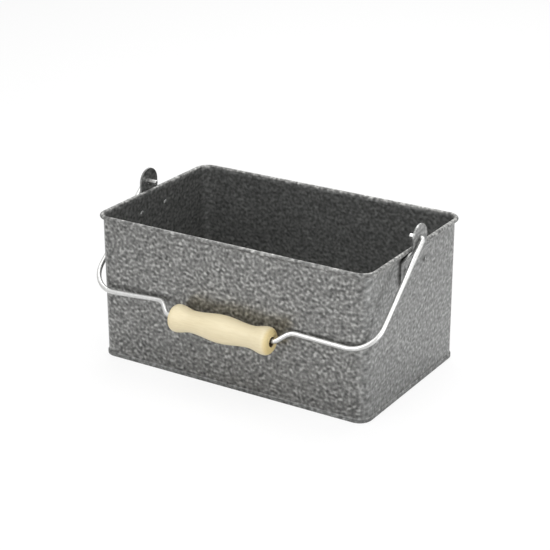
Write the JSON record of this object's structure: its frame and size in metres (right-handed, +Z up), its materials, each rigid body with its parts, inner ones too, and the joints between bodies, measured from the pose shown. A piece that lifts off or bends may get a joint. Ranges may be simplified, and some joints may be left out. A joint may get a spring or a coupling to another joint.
{
  "type": "table caddy",
  "caption": "Rectangular sheet-metal caddy with a rolled rim, riveted ears and a swinging wire bail with a turned wooden grip.",
  "frame": {"origin": "on the table, under the centre of the base pan", "axes": "+X along the long front wall, to the right; +Y to the back; +Z up"},
  "size_m": [0.2632, 0.1756, 0.139],
  "materials": {
    "hammered_paint": "grey hammered paint, mottled light and dark, satin",
    "zinc_wire": "bright zinc plate",
    "turned_wood": "pale turned hardwood, clear satin"
  },
  "bodies": {
    "caddy": {"wall_sheet": "hammered_paint", "base_pan": "hammered_paint", "ear_left": "hammered_paint", "ear_right": "hammered_paint", "rivet_left_front": "hammered_paint", "rivet_left_back": "hammered_paint", "rivet_right_front": "hammered_paint", "rivet_right_back": "hammered_paint"},
    "bail": {"bail_wire": "zinc_wire"},
    "grip": {"wood_grip": "turned_wood"}
  },
  "joints": [
    {"name": "bail_swing", "type": "hinge", "parent": "caddy", "child": "bail", "pos_m": [0, -0.0015, 0.1278], "axis": [-1, 0, 0], "range_deg": [0, 257.8]},
    {"name": "grip_spin", "type": "hinge", "parent": "bail", "child": "grip", "pos_m": [0, -0.0866, 0.05537], "axis": [1, 0, 0], "continuous": true}
  ]
}
